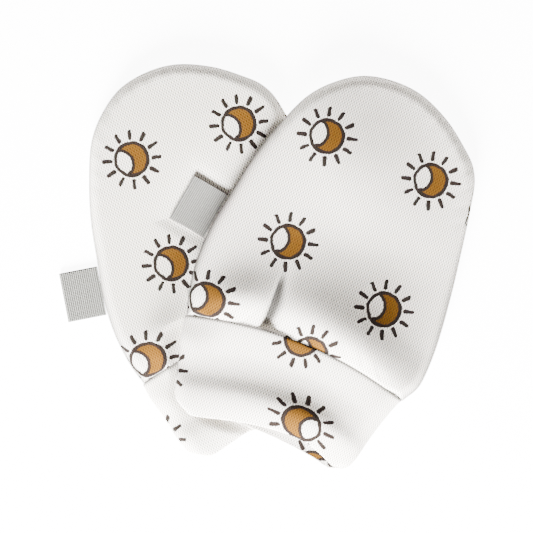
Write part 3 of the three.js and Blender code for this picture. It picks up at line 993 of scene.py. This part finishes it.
pieces = {}
for place in (LOWER, UPPER):
    for part, name, make_rows, suns, inner_suns in CLOTH_PIECES:
        name = f"{place['name']}_{name}"
        piece = shell(name, make_rows, place, CLOTH, suns, CLOTH_MATERIAL, inner_suns)
        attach(piece, "root")
        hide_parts(f"{place['name']}_{part}")
        pieces[f"{place['name']}_{part}"] = piece
        print(piece.name, len(piece.data.polygons), "faces")

# %% [markdown]
# The tag is a ribbon folded double, its ends in the side seam. A bent plane with a modifier would
# have no place along the ribbon, so its path is followed instead: out, round the fold and back. The
# upper tag rests on the lower mitten, the lower one on the table.

# %% Path of the ribbon
RIB_PITCH = 0.65
RIB_RADIUS = 0.14
TAG_STEPS = dict(layer=14, fold=13, across=33)


def rest_of_tag(place, x, y):
    if place is LOWER:
        return np.full_like(x, RIB_RADIUS)
    return crown(LOWER, *to_mitten(LOWER, x, y)) + SEAM_GAP / 2


def tag_rows(place, depth):
    turn = math.radians(TAG["turn"])
    straight = TAG["reach"] - TAG["fold"]
    radius = TAG["fold"] - depth
    path = [(straight * t, depth) for t in np.linspace(0, 1, TAG_STEPS["layer"])]
    for angle in np.radians(np.linspace(-90, 90, TAG_STEPS["fold"])[1:-1]):
        path.append((straight + radius * math.cos(angle), TAG["fold"] + radius * math.sin(angle)))
    path += [(straight * t, 2 * TAG["fold"] - depth) for t in np.linspace(1, 0, TAG_STEPS["layer"])]
    share = np.linspace(-0.5, 0.5, TAG_STEPS["across"])
    rows, cloth = [], []
    run = 0
    for i, (out, up) in enumerate(path):
        if i:
            run += math.dist(path[i - 1], path[i])
        across = TAG["width"] * share
        u = TAG["u"] + out * math.cos(turn) - across * math.sin(turn)
        v = TAG["v"] + out * math.sin(turn) + across * math.cos(turn)
        x, y = to_world(place, u, v)
        rows.append(np.column_stack([x, y, up + rest_of_tag(place, x, y)]))
        cloth.append(np.column_stack([np.full_like(across, run), across]))
    return rows, cloth


print("ribbon for a tag:", round(float(tag_rows(LOWER, 0)[1][-1][0, 0]), 1), "mm")

# %% [markdown]
# The ribbon is a grey weave with raised ribs, and a dark line along one edge is a painted shadow. Its fine
# cross threads are too small to model, so waves along and across the ribbon paint shade into its colour
# between them. Some noise breaks the regular pattern, as yarn of uneven twist does.

# %% Ribbon weave
THREAD_PITCH = 0.5
RIBBON_GREY = (0.235, 0.235, 0.213, 1)
PAINTED_TAG_EDGE_SHADOW = {"from": 7.55, "colour": (0.03, 0.02, 0.015, 1)}


def ribbon_material():
    material, tree, shader = new_material("tag_ribbon")
    cloth = tree.attribute("cloth_mm")
    run, across, _ = tree.split(cloth)
    rib = tree.math("COSINE", tree.math("MULTIPLY", run, 2 * math.pi / RIB_PITCH))
    thread = tree.math("COSINE", tree.math("MULTIPLY", across, 2 * math.pi / THREAD_PITCH))
    height = tree.math("MULTIPLY_ADD", thread, 0.2, tree.math("MULTIPLY_ADD", rib, -0.35, 0.5))
    speckle = tree.noise(cloth, 2.2, 2).outputs["Fac"]
    # Painted shade between the ribs and threads, with uneven tone from the speckle.
    shade = tree.math("MULTIPLY_ADD", height, 1.15, 0.15)
    shade = tree.math("MULTIPLY", shade, tree.math("MULTIPLY_ADD", speckle, 0.8, 0.6))
    # Painted shadow: a dark line along one edge of the ribbon.
    edge = tree.step(across, -PAINTED_TAG_EDGE_SHADOW["from"], -PAINTED_TAG_EDGE_SHADOW["from"] - 0.2)
    colour = tree.blend(edge, RIBBON_GREY, PAINTED_TAG_EDGE_SHADOW["colour"])
    tree.plug(shader.inputs["Base Color"], tree.vector("SCALE", colour, scale=shade))
    bump = tree.node("ShaderNodeBump")
    bump.inputs["Strength"].default_value = 0.6
    bump.inputs["Distance"].default_value = 0.2 * MM
    tree.plug(bump.inputs["Height"], height)
    tree.plug(shader.inputs["Normal"], bump.outputs[0])
    shader.inputs["Roughness"].default_value = 0.75
    return material


RIBBON_MATERIAL = ribbon_material()
print("ribbon shader nodes:", len(RIBBON_MATERIAL.node_tree.nodes))

# %% [markdown]
# The ribbon's mesh is a strip with a wall. It is closed along both selvedges and at both ends,
# because an open strip has no thickness where it is seen from the side.

# %% Ribbon mesh
TAG_SLIT = 0.02


def tag_piece(place):
    outer, cloth = tag_rows(place, 0)
    inner, _ = tag_rows(place, TAG["fold"] - TAG_SLIT)
    columns, count = len(outer[0]), len(outer)
    side = columns * count
    points = np.vstack(outer + inner) * MM
    flat = np.vstack(cloth + cloth)
    faces = []
    for r in range(count - 1):
        for c in range(columns - 1):
            a, b = r * columns + c, (r + 1) * columns + c
            faces += [(a, a + 1, b + 1, b), (side + a, side + b, side + b + 1, side + a + 1)]
        for c in (0, columns - 1):
            a, b = r * columns + c, (r + 1) * columns + c
            faces.append((a, b, side + b, side + a))
    for r in (0, count - 1):
        for c in range(columns - 1):
            a = r * columns + c
            faces.append((a, side + a, side + a + 1, a + 1))
    mesh = bpy.data.meshes.new(f"{place['name']}_tag_ribbon")
    mesh.from_pydata(points.tolist(), [], faces)
    uv = mesh.attributes.new("cloth_mm", "FLOAT_VECTOR", "POINT")
    uv.data.foreach_set("vector", np.column_stack([flat, np.zeros(len(flat))]).ravel())
    return finish_mesh(mesh.name, mesh, RIBBON_MATERIAL)


print("thickness of the folded ribbon:", 2 * TAG["fold"], "mm")

# %% [markdown]
# The ribs are one thread repeated across the ribbon. First a mesh of plain edges is laid, a line
# for each rib, which carries its place on the flat ribbon, so that the thread has the weave's
# shading as well.

# %% Lines of the ribs


def rib_lines(place):
    """One line of edges for each rib, across the ribbon, with its place on the flat ribbon."""
    rows, cloth = tag_rows(place, 0)
    run = [row[0, 0] for row in cloth]
    points = np.array([np.column_stack([row, flat]) for row, flat in zip(rows, cloth)])
    lines = []
    for at in np.arange(RIB_PITCH / 2, run[-1], RIB_PITCH):
        across = points.transpose(1, 0, 2)
        lines.append(np.array([[np.interp(at, run, values) for values in places.T] for places in across]))
    mesh = bpy.data.meshes.new(f"{place['name']}_tag_ribs")
    count = len(lines[0])
    edges = [(i * count + c, i * count + c + 1) for i in range(len(lines)) for c in range(count - 1)]
    points = np.vstack(lines)
    mesh.from_pydata((points[:, :3] * MM).tolist(), edges, [])
    flat = mesh.attributes.new("cloth_mm", "FLOAT_VECTOR", "POINT")
    flat.data.foreach_set("vector", np.column_stack([points[:, 3:], np.zeros(len(points))]).ravel())
    return mesh


print("ribs in 10 mm:", round(10 / RIB_PITCH, 1))

# %% [markdown]
# Geometry Nodes turn every line of edges into a round thread, by sweeping a circle along it. A
# bevelled curve could do it too, but the node tree takes all ribs at once and has its radius, its
# sides and its material as named inputs.

# %% Threads by Geometry Nodes


def thread_tree():
    """Geometry Nodes that lay a round thread along every line of edges."""
    group = bpy.data.node_groups.new("thread_on_lines", "GeometryNodeTree")
    face = group.interface
    sockets = (("Lines", "Geometry"), ("Thread radius", "Float"), ("Sides", "Int"), ("Material", "Material"))
    for name, kind in sockets:
        face.new_socket(name=name, in_out="INPUT", socket_type=f"NodeSocket{kind}")
    face.new_socket(name="Threads", in_out="OUTPUT", socket_type="NodeSocketGeometry")
    start, curve, circle, sweep, real, paint, end = (
        group.nodes.new(kind)
        for kind in (
            "NodeGroupInput",
            "GeometryNodeMeshToCurve",
            "GeometryNodeCurvePrimitiveCircle",
            "GeometryNodeCurveToMesh",
            "GeometryNodeRealizeInstances",
            "GeometryNodeSetMaterial",
            "NodeGroupOutput",
        )
    )
    sweep.inputs["Fill Caps"].default_value = True
    for source, target in (
        (start.outputs["Lines"], curve.inputs["Mesh"]),
        (start.outputs["Thread radius"], circle.inputs["Radius"]),
        (start.outputs["Sides"], circle.inputs["Resolution"]),
        (curve.outputs["Curve"], sweep.inputs["Curve"]),
        (circle.outputs["Curve"], sweep.inputs["Profile Curve"]),
        (sweep.outputs["Mesh"], real.inputs["Geometry"]),
        (real.outputs["Geometry"], paint.inputs["Geometry"]),
        (start.outputs["Material"], paint.inputs["Material"]),
        (paint.outputs["Geometry"], end.inputs["Threads"]),
    ):
        group.links.new(source, target)
    return group


THREADS = thread_tree()
print("inputs of the tree:", [item.name for item in THREADS.interface.items_tree if item.in_out == "INPUT"])

# %% [markdown]
# The tree runs on a carrier object, and its evaluated result becomes a plain mesh. The inputs are
# set by their identifiers before that, because their names are only labels. Afterwards the carrier
# goes, with its modifier.

# %% Threads as a mesh
def laid_threads(name, lines, radius, sides, material):
    carrier = bpy.data.objects.new(name, lines)
    bpy.context.scene.collection.objects.link(carrier)
    nodes = carrier.modifiers.new("threads", "NODES")
    nodes.node_group = THREADS
    for item in THREADS.interface.items_tree:
        for key, value in (("Thread radius", radius * MM), ("Sides", sides), ("Material", material)):
            if item.in_out == "INPUT" and item.name == key:
                nodes[item.identifier] = value
    bpy.context.view_layer.update()
    made = bpy.data.meshes.new_from_object(carrier.evaluated_get(bpy.context.evaluated_depsgraph_get()))
    bpy.data.objects.remove(carrier)
    made.materials.clear()
    return finish_mesh(name, made, material)


print("radius of a thread:", RIB_RADIUS, "mm")

# %% [markdown]
# A tag is two pieces: the ribbon, which takes the place of its solid, and its threads, which only
# add to it. They are kept apart, because the ribbon is measured as a sheet and the threads aren't.

# %% Side tags
THREAD_SIDES = 6

for place in (LOWER, UPPER):
    name = f"{place['name']}_tag_threads"
    ribs = laid_threads(name, rib_lines(place), RIB_RADIUS, THREAD_SIDES, RIBBON_MATERIAL)
    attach(ribs, "root")
    print(ribs.name, len(ribs.data.polygons), "faces")
    tag = tag_piece(place)
    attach(tag, "root")
    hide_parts(f"{place['name']}_tag")
    pieces[f"{place['name']}_tag"] = tag
    print(tag.name, len(tag.data.polygons), "faces")

# %% [markdown]
# A maker cuts each piece flat. A table gives its flat size and the area that shows, which a folded mesh
# alone couldn't tell, and the flat size is printed.

# %% The cut
CUTS = dict(
    front_panel=dict(flat=(0.088, 0.098), area=0.0068),
    back_panel=dict(flat=(0.084, 0.096), area=0.0066),
    cuff=dict(flat=(0.148, 0.030), area=0.0040),
    tag=dict(flat=(0.016, 0.026), area=None),
)
for name, piece in pieces.items():
    cut = CUTS[name.split("_", 1)[1]]
    print(name, "is cut", cut["flat"])

# %% [markdown]
# The pair lies on plain white paper, as flat garments are photographed. A white floor alone would
# come out grey under a low lamp, so the paper also glows softly, like a light table.

# %% Floor
FLOOR_GLOW = 10.0
FLOOR_HALF = 3.0


def floor():
    mesh = bpy.data.meshes.new("floor")
    half = FLOOR_HALF
    corners = [(-half, -half), (half, -half), (half, half), (-half, half)]
    mesh.from_pydata([(x, y, -0.1 * MM) for x, y in corners], [], [(0, 1, 2, 3)])
    material, tree, shader = new_material("floor_paper")
    grain = tree.noise(tree.node("ShaderNodeTexCoord").outputs["Object"], 60).outputs["Fac"]
    colour = tree.blend(grain, (0.92, 0.92, 0.92, 1), (0.95, 0.95, 0.95, 1))
    tree.plug(shader.inputs["Base Color"], colour)
    shader.inputs["Roughness"].default_value = 0.9
    shader.inputs["Emission Color"].default_value = (1, 1, 1, 1)
    shader.inputs["Emission Strength"].default_value = FLOOR_GLOW
    mesh.materials.append(material)
    made = bpy.data.objects.new("floor", mesh)
    bpy.context.scene.collection.objects.link(made)


floor()
print("floor:", 2 * FLOOR_HALF, "m wide")

# %% [markdown]
# The camera looks straight down through a long lens, which keeps the outlines true. One wide soft
# light stands low beyond the cuffs and a little to the left, so that it grazes the folds, and a
# warm even sky fills their shadows.

# %% Camera and light
FRAME_WIDTH = 170 * MM
LENS = 100
SENSOR = 36
AIM = dict(up=0.35, lift=6.0)
SOFTBOX = dict(place=(-0.27, -0.91, 0.30), size=0.55, power=199)
SKY = dict(colour=(1, 0.93, 0.86, 1), strength=0.5)


def area_light(name, place, size, power):
    light = bpy.data.lights.new(name, "AREA")
    light.shape = "DISK"
    light.size = size
    light.energy = power
    made = bpy.data.objects.new(name, light)
    made.location = place
    made.rotation_euler = (-Vector(place)).to_track_quat("-Z", "Y").to_euler()
    bpy.context.scene.collection.objects.link(made)


def camera():
    lens = bpy.data.cameras.new("camera")
    lens.lens = LENS
    lens.sensor_width = SENSOR
    made = bpy.data.objects.new("camera", lens)
    made.location = (0, AIM["up"] * MM, FRAME_WIDTH * LENS / SENSOR + AIM["lift"] * MM)
    bpy.context.scene.collection.objects.link(made)
    bpy.context.scene.camera = made


def daylight():
    world = bpy.data.worlds.new("studio")
    world.use_nodes = True
    background = world.node_tree.nodes["Background"]
    background.inputs["Color"].default_value = SKY["colour"]
    background.inputs["Strength"].default_value = SKY["strength"]
    bpy.context.scene.world = world


camera()
daylight()
area_light("softbox", SOFTBOX["place"], SOFTBOX["size"], SOFTBOX["power"])
print("frame width:", round(FRAME_WIDTH / MM), "mm")

# %% [markdown]
